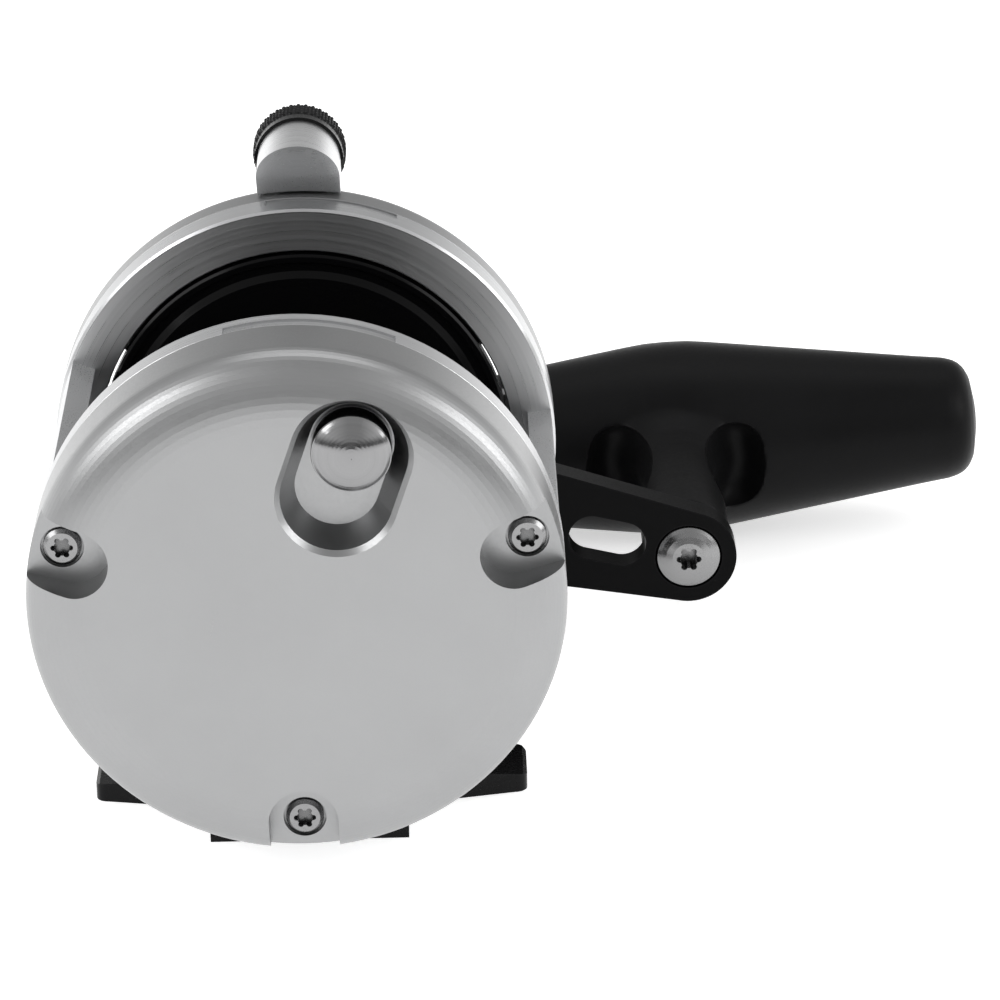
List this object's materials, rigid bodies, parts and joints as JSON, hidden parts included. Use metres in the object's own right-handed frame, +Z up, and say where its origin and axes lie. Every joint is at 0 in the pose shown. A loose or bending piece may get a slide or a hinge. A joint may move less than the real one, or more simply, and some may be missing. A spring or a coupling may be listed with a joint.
{
  "type": "trolling reel",
  "caption": "Two-speed lever-drag trolling reel with round side plates, open frame, black spool, sliding clicker button and a cranked handle with a cross grip.",
  "frame": {"origin": "centre of the foot's underside, below the spool axis", "axes": "+X towards the rod butt, +Y along the spool axis towards the handle side, +Z up from the rod through the spool"},
  "size_m": [0.2037, 0.2157, 0.128],
  "materials": {
    "satin_aluminium": "bead-blasted satin",
    "black_anodised": "gloss black anodised",
    "stainless": "bright",
    "steel": "machined",
    "brass": "machined",
    "carbon": "greased woven carbon",
    "black_grip": "smooth satin",
    "polished": "polished"
  },
  "bodies": {
    "root": {"frame": "satin_aluminium", "left_side_plate": "satin_aluminium", "left_plate_screws": "stainless", "right_side_plate": "satin_aluminium", "right_plate_screws": "stainless", "reel_foot": "black_anodised", "foot_screws": "stainless", "pinion_bearing": "steel", "drive_bearing_inner": "steel", "one_way_clutch": "steel", "drive_bearing_outer": "steel", "lever_quadrant": "black_anodised", "quadrant_screws": "stainless"},
    "shaft": {"main_shaft": "steel", "spring_washers": "steel"},
    "spool": {"spool": "black_anodised", "spool_bearing_left": "steel", "spool_bearing_right": "steel", "click_gear": "brass", "drag_washer": "carbon"},
    "pinions": {"pressure_plate": "steel", "low_pinion": "brass", "high_pinion": "brass"},
    "handle": {"drive_shaft": "steel", "high_gear": "steel", "gear_clip": "steel", "gear_spacer": "steel", "handle_arm": "black_anodised", "handle_nut": "stainless", "nut_lock_plate": "stainless", "nut_lock_screw": "stainless", "grip_stud": "stainless", "stud_screw": "stainless", "grip_retainer": "steel"},
    "low_gear": {"low_gear": "steel"},
    "shifter": {"shift_button": "satin_aluminium", "shift_rod": "steel"},
    "grip": {"grip": "black_grip", "grip_bearing_inner": "steel", "grip_bearing_outer": "steel", "grip_cap": "black_grip"},
    "lever": {"drag_lever": "satin_aluminium", "lever_knob_ring": "black_anodised", "lever_knob_screw": "stainless", "drag_cam": "steel"},
    "preset": {"preset_knob": "satin_aluminium"},
    "clicker": {"clicker_button": "polished", "clicker_carrier": "steel", "pawl_spring": "steel"},
    "pawl": {"click_pawl": "steel"}
  },
  "joints": [
    {"name": "lever_swing", "type": "hinge", "parent": "root", "child": "lever", "pos_m": [0, 0.053, 0.062], "axis": [0, 1, 0], "range_deg": [-55, 45]},
    {"name": "shaft_slide", "type": "slide", "parent": "root", "child": "shaft", "axis": [0, 1, 0], "range_m": [-0.00041, 0.0005]},
    {"name": "spool_spin", "type": "hinge", "parent": "shaft", "child": "spool", "pos_m": [0, 0, 0.062], "axis": [0, 1, 0], "continuous": true},
    {"name": "pinion_spin", "type": "hinge", "parent": "root", "child": "pinions", "pos_m": [0, 0.04, 0.062], "axis": [0, 1, 0], "continuous": true},
    {"name": "handle_spin", "type": "hinge", "parent": "root", "child": "handle", "pos_m": [0.00449, 0.06, 0.04087], "axis": [0, 1, 0], "continuous": true},
    {"name": "low_gear_spin", "type": "hinge", "parent": "root", "child": "low_gear", "pos_m": [0.00449, 0.0406, 0.04087], "axis": [0, 1, 0], "continuous": true},
    {"name": "shift_push", "type": "slide", "parent": "handle", "child": "shifter", "axis": [0, -1, 0], "range_m": [0, 0.002], "stiffness_N_per_m": 400},
    {"name": "grip_spin", "type": "hinge", "parent": "handle", "child": "grip", "pos_m": [0.08128, 0.1, 0.0223], "axis": [0, 1, 0], "continuous": true},
    {"name": "preset_turn", "type": "hinge", "parent": "shaft", "child": "preset", "pos_m": [0, 0.059, 0.062], "axis": [0, 1, 0], "range_deg": [-160, 160]},
    {"name": "clicker_slide", "type": "slide", "parent": "root", "child": "clicker", "axis": [-0.3338, 0, -0.9426], "range_m": [0, 0.009]},
    {"name": "pawl_swing", "type": "hinge", "parent": "clicker", "child": "pawl", "pos_m": [0.01075, -0.0393, 0.09235], "axis": [0, 1, 0], "range_deg": [-8, 8], "stiffness_Nm_per_rad": 0.002}
  ],
  "couplings": [
    {"joint": "shaft_slide", "follows": "lever_swing", "m_per_rad": -0.00052},
    {"joint": "pinion_spin", "follows": "spool_spin", "ratio": 1},
    {"joint": "handle_spin", "follows": "spool_spin", "ratio": -0.45946},
    {"joint": "low_gear_spin", "follows": "spool_spin", "ratio": -0.74194}
  ]
}
